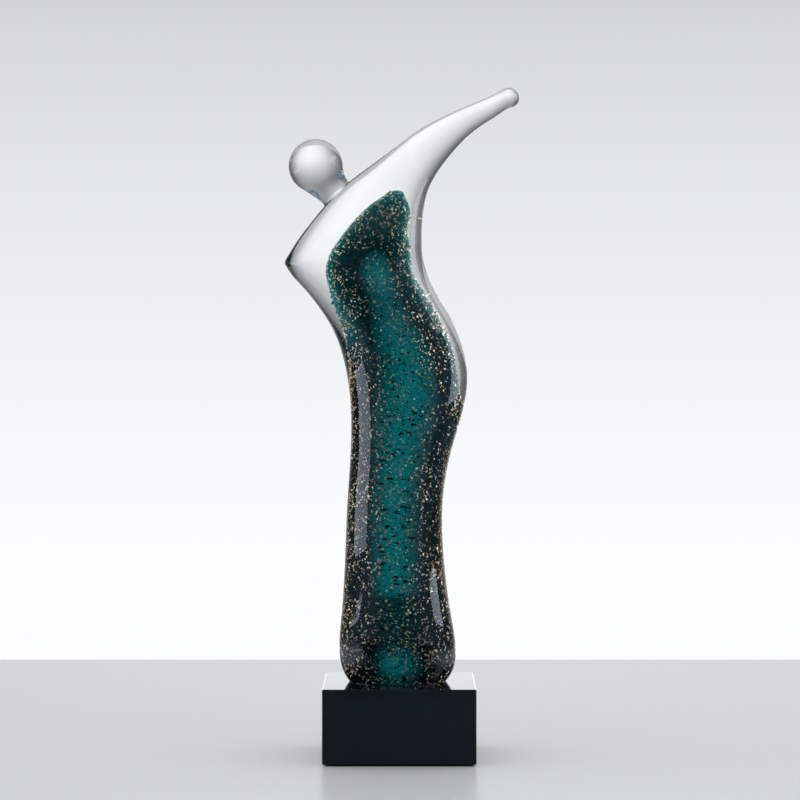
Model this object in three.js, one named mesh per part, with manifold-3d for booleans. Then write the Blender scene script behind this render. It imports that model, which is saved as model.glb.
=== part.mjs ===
// Glass trophy: a hot-sculpted figure with a ball head and a raised arm on a polished black block.
// The figure is cased glass: a clear gather, a coloured layer over it and a clear casing over both.
// Millimetres, +Z up, origin at the centre of the underside, front towards -Y.
// Inside the figure, heights are measured from its flat foot and called rises.
import * as THREE from "three";
import { mergeVertices } from "three/addons/utils/BufferGeometryUtils.js";
import Module from "manifold-3d";

// Base
const PLINTH_WIDTH = 80;
const PLINTH_DEPTH = 80;
const PLINTH_HEIGHT = 39;
const PLINTH_CHAMFER = 0.5;
const PAD_THICKNESS = 1;
const PAD_MARGIN = 2;
const GLUE_THICKNESS = 0.3;
const GLUE_MARGIN = 0.6;

// Figure: main sizes, from the foot to the elbow and from the elbow along the raised arm
const BODY_HEIGHT = 221.5;
const ARM_REACH = 121.7;
const ARM_RISE = 91.7;
const FINGERTIP_REACH = 5.4;

// Body sections are level. Each stands at a share of the body's height and runs from its left to its
// right point of the outline, and it bulges to the front and to the back by its half depth. A positive
// lean takes depth from the right side and gives it to the left, on the front or on the back. The
// swell fills both sides out from an ellipse towards a slab with round ends.
const FOOT = { share: 0, left: -26.6, right: 24.9, depth: 24 };
const HEEL = { share: 0.032, left: -30.3, right: 28.9, depth: 26.8 };
const ANKLE = { share: 0.09, left: -31.9, right: 29.9, depth: 28.6 };
const CALF = { share: 0.167, left: -30.6, right: 27.3, depth: 28.8 };
const KNEE = { share: 0.28, left: -29, right: 24.1, depth: 28.6 };
const LOWER_THIGH = { share: 0.415, left: -27.8, right: 23.1, depth: 28.4 };
const THIGH = { share: 0.533, left: -26.1, right: 26.8, depth: 28, frontLean: 0.04, backLean: -0.04 };
const LOWER_HIP = { share: 0.632, left: -25.7, right: 32.9, depth: 27.6, frontLean: 0.12, backLean: -0.12 };
const HIP = { share: 0.713, left: -27.2, right: 36.1, depth: 27.2, frontLean: 0.17, backLean: -0.2 };
const UPPER_HIP = {
  share: 0.781, left: -30.4, right: 34.5, depth: 26.6, frontLean: 0.14, backLean: -0.2, swell: 0.05,
};
const WAIST = {
  share: 0.853, left: -36.9, right: 28.9, depth: 25.2, frontLean: 0.06, backLean: -0.16, swell: 0.16,
};
const RIBS = { share: 0.925, left: -48.3, right: 20, depth: 23.8, backLean: -0.14, swell: 0.26 };
const FLANK = { share: 0.966, left: -56.4, right: 15.4, depth: 22.8, backLean: -0.14, swell: 0.32 };
const ELBOW = { share: 1, left: -61.2, right: 13.1, depth: 22, backLean: -0.14, swell: 0.36 };

// Arm sections turn from level to square across the arm. Their left and right points are shares of
// the arm's reach from the elbow's corner and of its rise above the elbow.
const BREAST = { left: [0.055, 0.118], right: [0.603, 0.055], depth: 21.4, backLean: -0.12, swell: 0.39 };
const CHEST = { left: [0.114, 0.224], right: [0.602, 0.104], depth: 20.8, backLean: -0.1, swell: 0.4 };
const NAPE = { left: [0.235, 0.409], right: [0.603, 0.213], depth: 18.6, backLean: -0.05, swell: 0.4 };
const SHOULDER = { left: [0.367, 0.549], right: [0.615, 0.344], depth: 15.2, swell: 0.37 };
const ARMPIT = { left: [0.478, 0.659], right: [0.646, 0.465], depth: 11.9, swell: 0.34 };
const UPPER_ARM = { left: [0.602, 0.776], right: [0.716, 0.603], depth: 9.1, swell: 0.32 };
const FOREARM = { left: [0.754, 0.878], right: [0.815, 0.742], depth: 6.4, swell: 0.28 };
const WRIST = { left: [0.872, 0.943], right: [0.915, 0.834], depth: 5.2, swell: 0.2 };
const HAND = { left: [0.926, 0.977], right: [0.965, 0.879], depth: 4.9, swell: 0.12 };
const FINGERTIP = { left: [0.958, 1], right: [1, 0.896], depth: 5.3 };

// The elbow's corner is softly rounded over the nearest sections, and only its middle is drawn out to
// a point. Both reaches count in steps between sections, and the focus narrows the point.
const ELBOW_ROUNDING = 1.6;
const ELBOW_POINT_ROUNDING = 0.3;
const ELBOW_POINT_FOCUS = 5;

// Casing: clear glass left and right of the coloured core and on its faces, at shares of the body's
// height. Above the elbow the core ends in a leaf-shaped crown.
const FOOT_WALL = { share: 0, left: 5, right: 5, face: 5 };
const ANKLE_WALL = { share: 0.09, left: 6.5, right: 6.5, face: 6.5 };
const THIGH_WALL = { share: 0.533, left: 6.5, right: 6.5, face: 6.5 };
const LOWER_HIP_WALL = { share: 0.65, left: 7, right: 8.6, face: 6.7 };
const HIP_WALL = { share: 0.72, left: 9.8, right: 11.4, face: 6.8 };
const UPPER_HIP_WALL = { share: 0.8, left: 12.5, right: 12.6, face: 6.7 };
const WAIST_WALL = { share: 0.866, left: 14.6, right: 14.4, face: 6.6 };
const RIBS_WALL = { share: 0.93, left: 17.1, right: 14.2, face: 6.6 };
const ELBOW_WALL = { share: 0.992, left: 21.4, right: 12.4, face: 6.5 };
const BREAST_WALL = { share: 1.037, left: 22.8, right: 11.6, face: 6.6 };
const CHEST_WALL = { share: 1.082, left: 23.4, right: 11.6, face: 6.8 };
const CROWN_WALL = { share: 1.138, left: 25.8, right: 11.2, face: 7.6 };
const PEAK_WALL = { share: 1.156, left: 28, right: 13, face: 9.4 };
const CROWN_TOP_SHARE = 1.166;
const CROWN_TOP_X = -1.4;

// Coloured layer: its thickness left, right and on the faces of the clear gather, at shares of the
// body's height
const FOOT_COLOUR = { share: 0, left: 10.4, right: 10.4, face: 7.2 };
const THIGH_COLOUR = { share: 0.48, left: 10.4, right: 10.4, face: 7.2 };
const LOWER_HIP_COLOUR = { share: 0.65, left: 9, right: 8.6, face: 7.2 };
const HIP_COLOUR = { share: 0.72, left: 8.8, right: 8.2, face: 7.2 };
const WAIST_COLOUR = { share: 0.857, left: 8.6, right: 7.6, face: 8.4 };
const RIBS_COLOUR = { share: 0.936, left: 14.5, right: 7, face: 9.4 };
const ELBOW_COLOUR = { share: 1.03, left: 17, right: 7.5, face: 10.6 };

// Clear gather: a lens in the foot, a flat stem and a long body that is round at both ends
const STEM_HALF_WIDTH = 9;
const STEM_HALF_DEPTH = 6.5;
const LENS_LEVEL = 11.6;
const LENS_HALF_WIDTH = 10.4;
const LENS_HALF_DEPTH = 13;
const LENS_HALF_HEIGHT = 10.4;
const GATHER_FOOT = 42.6;
const GATHER_ROUNDING = 6;
const GATHER_SHOULDER_SHARE = 0.95;
const GATHER_TOP_SHARE = 1.03;

// Head: a ball on a short flared neck, stuck to the sloping shoulder
const HEAD_RADIUS = 14.4;
const HEAD_DISTANCE = 17.8;
const HEAD_LEAN = 7.8;
const NECK_SHARE = 0.401;
const NECK_FOOT_RADIUS = 9.1;
const NECK_WAIST_RADIUS = 8.9;
const NECK_WAIST_HEIGHT = 2;
const NECK_FILLET_HEIGHT = 9.7;
const NECK_SEAT_DEPTH = 1.6;

// Layers and head are fused in the real glass and drawn this far apart
const FUSE_CLEARANCE = 0.3;

// Resolution of the faceted surfaces
const RING_POINTS = 32;
const RINGS_PER_SECTION = 2;
const CORE_RINGS = 21;
const CROWN_RINGS = 4;
const LENS_RINGS = 6;
const GATHER_FOOT_RINGS = 3;
const GATHER_BODY_RINGS = 12;
const GATHER_TOP_RINGS = 5;
const DOME_RINGS = 4;
const ROUNDING_SAMPLES = 10;
const HEAD_SEGMENTS = 28;
const HEAD_ARC_POINTS = 16;
const NECK_CURVE_POINTS = 4;
const GLUE_SEGMENTS = 24;
const BISECTIONS = 30;
const SLOPE_STEP = 0.5;

const PAD_TOP = PAD_THICKNESS;
const PLINTH_TOP = PAD_TOP + PLINTH_HEIGHT;
const FOOT_LEVEL = PLINTH_TOP + GLUE_THICKNESS;
const GATHER_SHOULDER = GATHER_SHOULDER_SHARE * BODY_HEIGHT;
const GATHER_TOP = GATHER_TOP_SHARE * BODY_HEIGHT;

const BODY_SECTIONS = [
  FOOT, HEEL, ANKLE, CALF, KNEE, LOWER_THIGH, THIGH, LOWER_HIP, HIP, UPPER_HIP, WAIST, RIBS, FLANK,
  ELBOW,
];
const ARM_SECTIONS = [
  BREAST, CHEST, NAPE, SHOULDER, ARMPIT, UPPER_ARM, FOREARM, WRIST, HAND, FINGERTIP,
];
const CASING_WALLS = [
  FOOT_WALL, ANKLE_WALL, THIGH_WALL, LOWER_HIP_WALL, HIP_WALL, UPPER_HIP_WALL, WAIST_WALL, RIBS_WALL,
  ELBOW_WALL, BREAST_WALL, CHEST_WALL, CROWN_WALL, PEAK_WALL,
];
const COLOUR_WALLS = [
  FOOT_COLOUR, THIGH_COLOUR, LOWER_HIP_COLOUR, HIP_COLOUR, WAIST_COLOUR, RIBS_COLOUR, ELBOW_COLOUR,
];
const ELBOW_INDEX = BODY_SECTIONS.length - 1;
const LAST_INDEX = ELBOW_INDEX + ARM_SECTIONS.length;

const wasm = await Module();
wasm.setup();

/** Smooth interpolation of rows of numbers over rising knots; returns a function of the knot. */
function interpolate(knots, rows) {
  const size = rows[0].length;
  const interpolant = new THREE.CubicInterpolant(knots, rows.flat(), size, new Float64Array(size));
  return (knot) => [...interpolant.evaluate(knot)];
}

/** Smooth rail through points at whole section indices. */
function railThrough(rows) {
  return interpolate(rows.map((_, index) => index), rows);
}

/** Smooth run of left, right and face walls over the rises that they stand at. */
function wallRail(walls) {
  return interpolate(
    walls.map(({ share }) => share * BODY_HEIGHT),
    walls.map(({ left, right, face }) => [left, right, face]),
  );
}

/** Outline point of a body section, as [x, rise]. */
function bodyPoint({ share }, x) {
  return [x, share * BODY_HEIGHT];
}

/** Outline point of an arm section, as [x, rise]. */
function armPoint([reachShare, riseShare]) {
  return [ELBOW.left + reachShare * ARM_REACH, BODY_HEIGHT + riseShare * ARM_RISE];
}

const leftBodyPoints = BODY_SECTIONS.map((section) => bodyPoint(section, section.left));
const rightBodyPoints = BODY_SECTIONS.map((section) => bodyPoint(section, section.right));
const leftArmPoints = ARM_SECTIONS.map(({ left }) => armPoint(left));
const rightArmPoints = ARM_SECTIONS.map(({ right }) => armPoint(right));
const shapes = [...BODY_SECTIONS, ...ARM_SECTIONS].map(
  ({ depth, frontLean = 0, backLean = 0, swell = 0 }) => [depth, frontLean, backLean, swell],
);

const leftBodyRail = railThrough(leftBodyPoints);
const leftArmRail = railThrough([leftBodyPoints[ELBOW_INDEX], ...leftArmPoints]);
const rightRail = railThrough([...rightBodyPoints, ...rightArmPoints]);
const shapeRail = railThrough(shapes);
const casingRail = wallRail(CASING_WALLS);
const colourRail = wallRail(COLOUR_WALLS);

/** The left outline has its corner at the elbow, so two smooth stretches meet there. */
function cornerRail(index) {
  return index <= ELBOW_INDEX ? leftBodyRail(index) : leftArmRail(index - ELBOW_INDEX);
}

/** Left outline with its corner rounded: near the elbow, a weighted mean of the points around. */
function leftRail(index, rounding = ELBOW_ROUNDING) {
  const nearness = Math.max(0, 1 - Math.abs(index - ELBOW_INDEX) / (2 * rounding));
  const sum = [0, 0];
  let total = 0;
  for (let sample = 1 - ROUNDING_SAMPLES; sample < ROUNDING_SAMPLES; sample += 1) {
    const offset = sample / ROUNDING_SAMPLES;
    const weight = Math.cos((offset * Math.PI) / 2) ** 2;
    const [x, rise] = cornerRail(index + offset * rounding * nearness);
    sum[0] += weight * x;
    sum[1] += weight * rise;
    total += weight;
  }
  return sum.map((value) => value / total);
}

/** Point of the front view, in the plane of the outline. */
function outlinePoint([x, rise]) {
  return new THREE.Vector3(x, 0, rise);
}

/** Depth, leans and swell at a section index. */
function shapeAt(index) {
  const [depth, frontLean, backLean, swell] = shapeRail(index);
  return { depth, frontLean, backLean, swell };
}

/** Section of the figure's outside at a section index, which may lie between two sections. */
function figureSection(index) {
  const left = outlinePoint(leftRail(index));
  const pull = outlinePoint(leftRail(index, ELBOW_POINT_ROUNDING)).sub(left);
  return { left, right: outlinePoint(rightRail(index)), ...shapeAt(index), pull };
}

/** Index at which a height that grows with the index reaches a rise. */
function indexAtRise(riseOf, rise) {
  let low = 0;
  let high = LAST_INDEX;
  for (let step = 0; step < BISECTIONS; step += 1) {
    const middle = (low + high) / 2;
    if (riseOf(middle) < rise) {
      low = middle;
    } else {
      high = middle;
    }
  }
  return (low + high) / 2;
}

/** Level section of the figure's outside at a rise. */
function levelSection(rise) {
  const [leftX] = leftRail(indexAtRise((index) => leftRail(index)[1], rise));
  const [rightX] = rightRail(indexAtRise((index) => rightRail(index)[1], rise));
  const middleRise = (index) => (leftRail(index)[1] + rightRail(index)[1]) / 2;
  const shape = shapeAt(indexAtRise(middleRise, rise));
  return { left: outlinePoint([leftX, rise]), right: outlinePoint([rightX, rise]), ...shape };
}

/** Section with its outline points and its faces moved inwards by their walls. */
function inset(section, leftWall, rightWall, faceWall) {
  const across = section.right.clone().sub(section.left).normalize();
  return {
    ...section,
    left: section.left.clone().addScaledVector(across, leftWall),
    right: section.right.clone().addScaledVector(across, -rightWall),
    depth: section.depth - faceWall,
  };
}

function grow(section, margin) {
  return inset(section, -margin, -margin, -margin);
}

function coreSection(rise) {
  return inset(levelSection(rise), ...casingRail(rise));
}

function centreOf({ left, right }) {
  return left.clone().add(right).multiplyScalar(0.5);
}

/** Share of its full width that a round end keeps at a distance from its widest place. */
function roundShare(distance, reach) {
  return Math.sqrt(Math.max(0, 1 - (distance / reach) ** 2));
}

/** Level oval of the clear gather, grown by a margin and as wide as its body, lens or stem there. */
function gatherSection(rise, margin) {
  const hull = inset(coreSection(rise), ...colourRail(rise));
  const centre = centreOf(hull);
  const foot = roundShare(Math.max(0, GATHER_FOOT + GATHER_ROUNDING - rise), GATHER_ROUNDING + margin);
  const top = roundShare(Math.max(0, rise - GATHER_SHOULDER), GATHER_TOP - GATHER_SHOULDER + margin);
  const lens = roundShare(rise - LENS_LEVEL, LENS_HALF_HEIGHT + margin);
  const bodyWidth = (hull.right.x - centre.x) * foot;
  const width = Math.max(bodyWidth, LENS_HALF_WIDTH * lens, STEM_HALF_WIDTH) * top + margin;
  const depth = Math.max(hull.depth * foot, LENS_HALF_DEPTH * lens, STEM_HALF_DEPTH) * top + margin;
  const left = outlinePoint([centre.x - width, rise]);
  const right = outlinePoint([centre.x + width, rise]);
  return { left, right, depth, frontLean: 0, backLean: 0, swell: 0 };
}

/** Sections that round a loft off between its last section and its apex. */
function domeSections(section, apex) {
  const centre = centreOf(section);
  const half = section.right.clone().sub(centre);
  const reach = apex.clone().sub(centre);
  const sideways = reach.clone().projectOnVector(half);
  const forwards = reach.clone().sub(sideways);
  const sections = [];
  for (let step = 1; step < DOME_RINGS; step += 1) {
    const angle = (step / DOME_RINGS) * (Math.PI / 2);
    const middle = centre.clone();
    middle.addScaledVector(forwards, Math.sin(angle));
    middle.addScaledVector(sideways, 1 - Math.cos(angle));
    const reduced = half.clone().multiplyScalar(Math.cos(angle));
    sections.push({
      ...section,
      left: middle.clone().sub(reduced),
      right: middle.clone().add(reduced),
      depth: section.depth * Math.cos(angle),
    });
  }
  return sections;
}

/** Oval of points round a section, from its right point by the back to the left and the front. */
function sectionRing(section) {
  const centre = centreOf(section);
  const half = section.right.clone().sub(centre);
  const ring = [];
  for (let point = 0; point < RING_POINTS; point += 1) {
    const angle = (point / RING_POINTS) * 2 * Math.PI;
    const aside = Math.cos(angle);
    const outwards = Math.sin(angle);
    const lean = outwards < 0 ? section.frontLean : section.backLean;
    const fullness = 1 - lean * aside + section.swell * aside ** 2;
    const position = centre.clone().addScaledVector(half, aside);
    position.y += section.depth * outwards * fullness;
    if (section.pull) {
      position.addScaledVector(section.pull, ((1 - aside) / 2) ** ELBOW_POINT_FOCUS);
    }
    ring.push(position);
  }
  return ring;
}

/** Closed skin from a start point over the rings to an end point. */
function skin(start, rings, end) {
  const points = [start, ...rings.flat(), end];
  const last = points.length - 1;
  const triangles = [];
  for (let side = 0; side < RING_POINTS; side += 1) {
    const next = (side + 1) % RING_POINTS;
    triangles.push(0, 1 + next, 1 + side);
    for (let ring = 0; ring < rings.length - 1; ring += 1) {
      const below = 1 + ring * RING_POINTS;
      const above = below + RING_POINTS;
      triangles.push(below + side, below + next, above + next);
      triangles.push(below + side, above + next, above + side);
    }
    const top = last - RING_POINTS;
    triangles.push(top + side, top + next, last);
  }
  const geometry = new THREE.BufferGeometry().setFromPoints(points);
  geometry.setIndex(triangles);
  geometry.computeVertexNormals();
  return geometry;
}

/** Form described by its sections and its apex, both grown by a margin. */
function form(sections, apex, margin) {
  const grown = sections.map((section) => grow(section, margin));
  const last = grown[grown.length - 1];
  const centre = centreOf(last);
  const outwards = apex.clone().sub(centre).normalize();
  const grownApex = apex.clone().addScaledVector(outwards, margin);
  const rings = [...grown, ...domeSections(last, grownApex)].map(sectionRing);
  return { rings, apex: grownApex };
}

/** Solid that stands on its flat foot. */
function solid({ rings, apex }, footCentre) {
  return skin(footCentre, rings, apex);
}

/** Shell between an outer form and a cavity that is open at the foot. */
function shell(outer, cavity) {
  const inwards = [...cavity.rings].reverse();
  return skin(cavity.apex, [...inwards, ...outer.rings], outer.apex);
}

/** Evenly spaced values from one to another, both included. */
function evenSteps(low, high, count) {
  return Array.from({ length: count + 1 }, (_, step) => THREE.MathUtils.lerp(low, high, step / count));
}

function figureForm(margin = 0) {
  const sections = evenSteps(0, LAST_INDEX, LAST_INDEX * RINGS_PER_SECTION).map(figureSection);
  const last = sections[sections.length - 1];
  const across = last.right.clone().sub(last.left).normalize();
  const forwards = new THREE.Vector3(-across.z, 0, across.x);
  const apex = centreOf(last).addScaledVector(forwards, FINGERTIP_REACH);
  return form(sections, apex, margin);
}

function coreForm(margin = 0) {
  const crownRise = CHEST_WALL.share * BODY_HEIGHT;
  const bodyRises = evenSteps(0, crownRise, CORE_RINGS);
  const crownRises = evenSteps(crownRise, PEAK_WALL.share * BODY_HEIGHT, CROWN_RINGS);
  const sections = [...bodyRises, ...crownRises.slice(1)].map(coreSection);
  const apex = outlinePoint([CROWN_TOP_X, CROWN_TOP_SHARE * BODY_HEIGHT]);
  return form(sections, apex, margin);
}

/** Rises of the gather's sections, close together where its width changes fast. */
function gatherRises(margin) {
  const bodyStart = GATHER_FOOT + GATHER_ROUNDING;
  const quarter = Math.PI / 2;
  const lens = evenSteps(-quarter, quarter, LENS_RINGS).map(
    (turn) => LENS_LEVEL + (LENS_HALF_HEIGHT + margin) * Math.sin(turn),
  );
  const foot = evenSteps(-quarter, 0, GATHER_FOOT_RINGS).map(
    (turn) => bodyStart + (GATHER_ROUNDING + margin) * Math.sin(turn),
  );
  const body = evenSteps(bodyStart, GATHER_SHOULDER, GATHER_BODY_RINGS);
  const top = evenSteps(0, quarter, GATHER_TOP_RINGS).map(
    (turn) => GATHER_SHOULDER + (GATHER_TOP - GATHER_SHOULDER + margin) * Math.sin(turn),
  );
  return [0, ...lens, ...foot, ...body.slice(1), ...top.slice(1, -1)];
}

function gatherForm(margin = 0) {
  const rings = gatherRises(margin).map((rise) => sectionRing(gatherSection(rise, margin)));
  const apex = centreOf(gatherSection(GATHER_TOP, margin)).setZ(GATHER_TOP + margin);
  return { rings, apex };
}

/** Manifold solid of a closed geometry. */
function toManifold(geometry) {
  const bare = geometry.clone();
  bare.deleteAttribute("normal");
  bare.deleteAttribute("uv");
  const merged = mergeVertices(bare);
  const vertProperties = new Float32Array(merged.attributes.position.array);
  const triVerts = new Uint32Array(merged.index.array);
  return new wasm.Manifold(new wasm.Mesh({ numProp: 3, vertProperties, triVerts }));
}

function toGeometry(manifold) {
  const { vertProperties, triVerts } = manifold.getMesh();
  const geometry = new THREE.BufferGeometry();
  geometry.setAttribute("position", new THREE.BufferAttribute(vertProperties, 3));
  geometry.setIndex(new THREE.BufferAttribute(triVerts, 1));
  geometry.computeVertexNormals();
  return geometry;
}

/** Half outline of ball and neck as [radius, height above the shoulder], from the axis to the axis. */
function headProfile() {
  const joinAngle = Math.asin((NECK_FILLET_HEIGHT - HEAD_DISTANCE) / HEAD_RADIUS);
  const join = new THREE.Vector2(HEAD_RADIUS * Math.cos(joinAngle), NECK_FILLET_HEIGHT);
  const tangentDrop = (join.x - NECK_WAIST_RADIUS) / Math.tan(-joinAngle);
  const path = new THREE.Path();
  path.moveTo(NECK_FOOT_RADIUS, 0);
  path.quadraticCurveTo(NECK_WAIST_RADIUS, 0, NECK_WAIST_RADIUS, NECK_WAIST_HEIGHT);
  path.quadraticCurveTo(NECK_WAIST_RADIUS, join.y - tangentDrop, join.x, join.y);
  const neck = path.getPoints(NECK_CURVE_POINTS);
  const ball = [];
  for (let step = 1; step < HEAD_ARC_POINTS; step += 1) {
    const angle = joinAngle + (Math.PI / 2 - joinAngle) * (step / HEAD_ARC_POINTS);
    const height = HEAD_DISTANCE + HEAD_RADIUS * Math.sin(angle);
    ball.push(new THREE.Vector2(HEAD_RADIUS * Math.cos(angle), height));
  }
  const root = new THREE.Vector2(0, -NECK_SEAT_DEPTH);
  const rootEdge = new THREE.Vector2(NECK_FOOT_RADIUS, -NECK_SEAT_DEPTH);
  return [root, rootEdge, ...neck, ...ball, new THREE.Vector2(0, HEAD_DISTANCE + HEAD_RADIUS)];
}

/** Ball and neck, set on the shoulder's edge and cut to its surface. */
function headGeometry() {
  const outline = (rise) => levelSection(rise).left;
  const neckRise = BODY_HEIGHT + NECK_SHARE * ARM_RISE;
  const seat = outline(neckRise);
  const along = outline(neckRise + SLOPE_STEP).sub(outline(neckRise - SLOPE_STEP)).normalize();
  const axis = new THREE.Vector3(-along.z, 0, along.x);
  axis.applyAxisAngle(new THREE.Vector3(0, 1, 0), THREE.MathUtils.degToRad(HEAD_LEAN));
  const turn = new THREE.Quaternion().setFromUnitVectors(new THREE.Vector3(0, 1, 0), axis);
  const lathe = new THREE.LatheGeometry(headProfile(), HEAD_SEGMENTS);
  lathe.applyQuaternion(turn);
  lathe.translate(seat.x, seat.y, seat.z);
  const figure = solid(figureForm(FUSE_CLEARANCE), new THREE.Vector3());
  return toGeometry(toManifold(lathe).subtract(toManifold(figure)));
}

/** Block with every edge chamfered, standing on z = 0. */
function chamferedBlock(width, depth, height, chamfer) {
  const outline = new THREE.Shape();
  const x = width / 2;
  const y = depth / 2;
  outline.moveTo(chamfer - x, -y);
  outline.lineTo(x - chamfer, -y);
  outline.lineTo(x, chamfer - y);
  outline.lineTo(x, y - chamfer);
  outline.lineTo(x - chamfer, y);
  outline.lineTo(chamfer - x, y);
  outline.lineTo(-x, y - chamfer);
  outline.lineTo(-x, chamfer - y);
  outline.closePath();
  const block = new THREE.ExtrudeGeometry(outline, {
    depth: height - 2 * chamfer,
    bevelThickness: chamfer,
    bevelSize: chamfer,
    bevelOffset: -chamfer,
    bevelSegments: 1,
  });
  return block.translate(0, 0, chamfer);
}

/** Thin film of adhesive under the foot, a little smaller than it. */
function glueGeometry() {
  const centre = centreOf(figureSection(0));
  const halfWidth = (FOOT.right - FOOT.left) / 2 - GLUE_MARGIN;
  const outline = new THREE.Shape();
  outline.absellipse(centre.x, 0, halfWidth, FOOT.depth - GLUE_MARGIN, 0, 2 * Math.PI);
  return new THREE.ExtrudeGeometry(outline, {
    depth: GLUE_THICKNESS,
    bevelEnabled: false,
    curveSegments: GLUE_SEGMENTS,
  });
}

function glass(color, opacity) {
  const transparent = opacity < 1;
  return new THREE.MeshStandardMaterial({ color, opacity, transparent, roughness: 0.02, metalness: 0 });
}

function addPiece(parent, name, geometry, material) {
  const piece = new THREE.Mesh(geometry, material);
  piece.name = name;
  parent.add(piece);
  return piece;
}

const clearGlass = glass(0xe9eff0, 0.35);
const tealGlass = glass(0x03696c, 0.8);
const blackGlass = glass(0x0a0d10, 1);
const adhesive = new THREE.MeshStandardMaterial({ color: 0xdfe4e4, roughness: 0.3, metalness: 0 });
const felt = new THREE.MeshStandardMaterial({ color: 0x15171a, roughness: 0.95, metalness: 0 });

const trophy = new THREE.Group();
trophy.name = "glass_trophy";

const footCentre = centreOf(figureSection(0));
const figure = new THREE.Group();
figure.position.z = FOOT_LEVEL;
trophy.add(figure);
addPiece(figure, "casing", shell(figureForm(), coreForm(FUSE_CLEARANCE)), clearGlass);
addPiece(figure, "colour_layer", shell(coreForm(), gatherForm(FUSE_CLEARANCE)), tealGlass);
addPiece(figure, "inner_gather", solid(gatherForm(), footCentre), clearGlass);
addPiece(figure, "head", headGeometry(), clearGlass);

const glue = addPiece(trophy, "glue_film", glueGeometry(), adhesive);
glue.position.z = PLINTH_TOP;

const plinthGeometry = chamferedBlock(PLINTH_WIDTH, PLINTH_DEPTH, PLINTH_HEIGHT, PLINTH_CHAMFER);
const plinth = addPiece(trophy, "plinth", plinthGeometry, blackGlass);
plinth.position.z = PAD_TOP;

const padGeometry = new THREE.BoxGeometry(
  PLINTH_WIDTH - 2 * PAD_MARGIN,
  PLINTH_DEPTH - 2 * PAD_MARGIN,
  PAD_THICKNESS,
);
const pad = addPiece(trophy, "felt_pad", padGeometry, felt);
pad.position.z = PAD_THICKNESS / 2;

export default trophy;
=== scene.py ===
"""Glass trophy: a cased-glass figure with a ball head and a raised arm on a black glass block.

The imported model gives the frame. This script makes the fine glass surfaces, the metallic flecks
on the coloured core, the finishes, the studio and the camera. Lengths in the dataclasses are
millimetres, and meshes are made in metres.
"""
import logging
import math
from dataclasses import dataclass, field
from enum import Enum
from typing import Callable

import bmesh
import bpy
import numpy as np
from mathutils import Matrix, Vector


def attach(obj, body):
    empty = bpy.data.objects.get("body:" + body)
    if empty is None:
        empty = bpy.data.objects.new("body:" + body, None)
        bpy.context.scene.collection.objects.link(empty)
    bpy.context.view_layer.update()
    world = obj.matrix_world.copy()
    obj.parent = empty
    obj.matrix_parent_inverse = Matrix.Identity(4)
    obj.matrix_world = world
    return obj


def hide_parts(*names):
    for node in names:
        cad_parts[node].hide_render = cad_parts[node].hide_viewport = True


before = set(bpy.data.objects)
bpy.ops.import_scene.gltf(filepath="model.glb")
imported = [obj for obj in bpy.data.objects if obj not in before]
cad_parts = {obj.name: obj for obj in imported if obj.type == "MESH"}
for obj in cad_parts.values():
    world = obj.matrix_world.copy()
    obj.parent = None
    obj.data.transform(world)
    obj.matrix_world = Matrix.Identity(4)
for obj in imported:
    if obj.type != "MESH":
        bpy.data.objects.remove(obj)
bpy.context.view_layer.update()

LOG = logging.getLogger("glass_trophy")
MM = 0.001
MERGE_DISTANCE = 1e-7
SHARP_ANGLE = math.radians(40)
DEGREES = 180 / math.pi
BODY = "root"

LIGHT_BOUNCES = {
    "max_bounces": 40,
    "transmission_bounces": 40,
    "glossy_bounces": 12,
    "transparent_max_bounces": 32,
}

Array = np.ndarray
Mesh = bpy.types.Mesh
Material = bpy.types.Material
Socket = bpy.types.NodeSocket
Levels = tuple[tuple[float, float], ...]
Colour = tuple[float, float, float, float]
WHITE: Colour = (1.0, 1.0, 1.0, 1.0)


def linear(*channels: float) -> Colour:
    """Turn a display colour into a scene colour by the sRGB curve.

    Args:
        channels: Red, green and blue as displayed, from 0 to 255.

    Returns:
        The linear colour with an alpha of 1.
    """
    curve = []
    for share in (channel / 255 for channel in channels):
        curve.append(share / 12.92 if share <= 0.04045 else ((share + 0.055) / 1.055) ** 2.4)
    return (*curve, 1.0)


def grey(level: float) -> Colour:
    """Make a neutral scene colour of one level."""
    return (level, level, level, 1.0)


class Slot(Enum):
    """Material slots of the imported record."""

    CLEAR = "clear_glass"
    TEAL = "teal_glass"


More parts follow.
